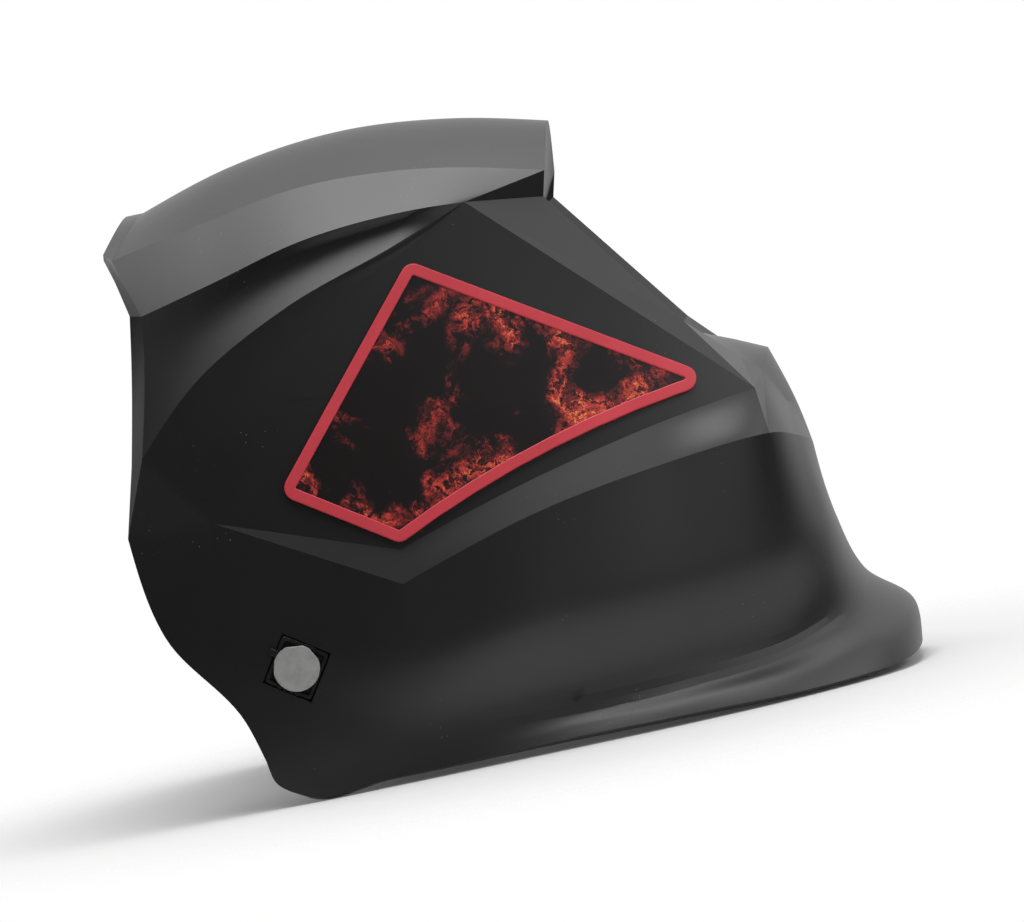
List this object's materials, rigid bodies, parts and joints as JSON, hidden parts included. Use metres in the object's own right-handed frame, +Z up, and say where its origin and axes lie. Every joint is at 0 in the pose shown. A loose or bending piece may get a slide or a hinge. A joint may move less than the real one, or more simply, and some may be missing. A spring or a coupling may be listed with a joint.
{
  "type": "welding helmet",
  "caption": "Creased black welding helmet with a filter window, printed side plates and folding ratchet headgear.",
  "frame": {"origin": "centre of the bounding box, at the level of the table that the rim stands on", "axes": "+Z up, the face looks along -Y, the wearer's right side is at -X"},
  "size_m": [0.2328, 0.294, 0.2531],
  "materials": {
    "shell_black": "satin black moulded polyamide with a fine grain",
    "carrier_black": "black moulded plastic",
    "badge_red": "red plastic border, semi-gloss",
    "badge_print": "dark plate with a red and orange mottled print",
    "clear_lens": "clear polycarbonate",
    "filter_green": "dark green filter glass",
    "solar_blue": "solar cell",
    "sensor_dark": "dark red sensor window",
    "board_green": "circuit board",
    "steel": "satin steel",
    "disc_grey": "satin metal disc",
    "knob_black": "black moulded plastic",
    "control_grey": "grey moulded plastic",
    "button_red": "red moulded plastic",
    "band_black": "black flexible polyethylene",
    "sweat_cloth": "padded knitted sweatband"
  },
  "bodies": {
    "root": {"shell": "shell_black", "lens_carrier": "carrier_black", "cover_lens_outer": "clear_lens", "cartridge_front": "carrier_black", "cartridge_rear": "carrier_black", "filter_glass": "filter_green", "solar_cell": "solar_blue", "arc_sensor_left": "sensor_dark", "arc_sensor_right": "sensor_dark", "circuit_board": "board_green", "coin_cell": "steel", "battery_cover": "carrier_black", "cover_lens_inner": "clear_lens", "latch_pin": "steel", "badge_frame_left": "badge_red", "badge_frame_right": "badge_red", "badge_insert_left": "badge_print", "badge_insert_right": "badge_print", "pivot_plate_left": "knob_black", "pivot_plate_right": "knob_black", "pivot_bolt_left": "disc_grey", "pivot_bolt_right": "disc_grey", "pivot_washer_left": "steel", "pivot_washer_right": "steel"},
    "headgear": {"headband_front": "band_black", "side_arm_left": "band_black", "side_arm_right": "band_black", "crown_strap_left": "band_black", "crown_strap_right": "band_black", "strap_buckle": "band_black", "sweatband": "sweat_cloth"},
    "nape": {"rear_band": "band_black", "rear_pad": "sweat_cloth", "ratchet_housing": "band_black"},
    "ratchet_knob": {"ratchet_knob": "knob_black"},
    "pivot_knob_left": {"pivot_knob_left": "knob_black"},
    "pivot_knob_right": {"pivot_knob_right": "knob_black"},
    "sensitivity_knob": {"sensitivity_knob": "control_grey"},
    "delay_knob": {"delay_knob": "control_grey"},
    "shade_knob": {"shade_knob": "control_grey"},
    "test_button": {"test_button": "button_red"},
    "mode_switch": {"mode_switch": "control_grey"},
    "cartridge_latch": {"cartridge_latch": "control_grey"}
  },
  "joints": [
    {"name": "headgear_flip", "type": "hinge", "parent": "root", "child": "headgear", "pos_m": [0, 0.0925, 0.0517], "axis": [-1, 0, 0], "range_deg": [0, 142]},
    {"name": "nape_slide", "type": "slide", "parent": "headgear", "child": "nape", "axis": [0, 0.2045, -0.9789], "range_m": [0, 0.012]},
    {"name": "ratchet_turn", "type": "hinge", "parent": "nape", "child": "ratchet_knob", "pos_m": [0, 0.06448, 0.1858], "axis": [0, -0.2045, 0.9789], "range_deg": [0, 360]},
    {"name": "pivot_knob_left_turn", "type": "hinge", "parent": "root", "child": "pivot_knob_left", "pos_m": [0.11313, 0.0925, 0.0517], "axis": [1, 0, 0], "range_deg": [0, 270]},
    {"name": "pivot_knob_right_turn", "type": "hinge", "parent": "root", "child": "pivot_knob_right", "pos_m": [-0.11313, 0.0925, 0.0517], "axis": [-1, 0, 0], "range_deg": [0, 270]},
    {"name": "sensitivity_knob_turn", "type": "hinge", "parent": "root", "child": "sensitivity_knob", "pos_m": [-0.042, -0.05671, 0.13534], "axis": [0, -0.8061, 0.5918], "range_deg": [0, 270]},
    {"name": "delay_knob_turn", "type": "hinge", "parent": "root", "child": "delay_knob", "pos_m": [-0.023, -0.05671, 0.13534], "axis": [0, -0.8061, 0.5918], "range_deg": [0, 270]},
    {"name": "shade_knob_turn", "type": "hinge", "parent": "root", "child": "shade_knob", "pos_m": [-0.001, -0.05671, 0.13534], "axis": [0, -0.8061, 0.5918], "range_deg": [0, 270]},
    {"name": "test_button_press", "type": "slide", "parent": "root", "child": "test_button", "axis": [0, -0.8061, 0.5918], "range_m": [0, 0.0012], "stiffness_N_per_m": 300},
    {"name": "mode_switch_slide", "type": "slide", "parent": "root", "child": "mode_switch", "axis": [1, 0, 0], "range_m": [0, 0.004]},
    {"name": "cartridge_latch_open", "type": "hinge", "parent": "root", "child": "cartridge_latch", "pos_m": [0, -0.00727, 0.20015], "axis": [1, 0, 0], "range_deg": [0, 100]}
  ],
  "couplings": [
    {"joint": "nape_slide", "follows": "ratchet_turn", "m_per_rad": 0.0019099}
  ]
}
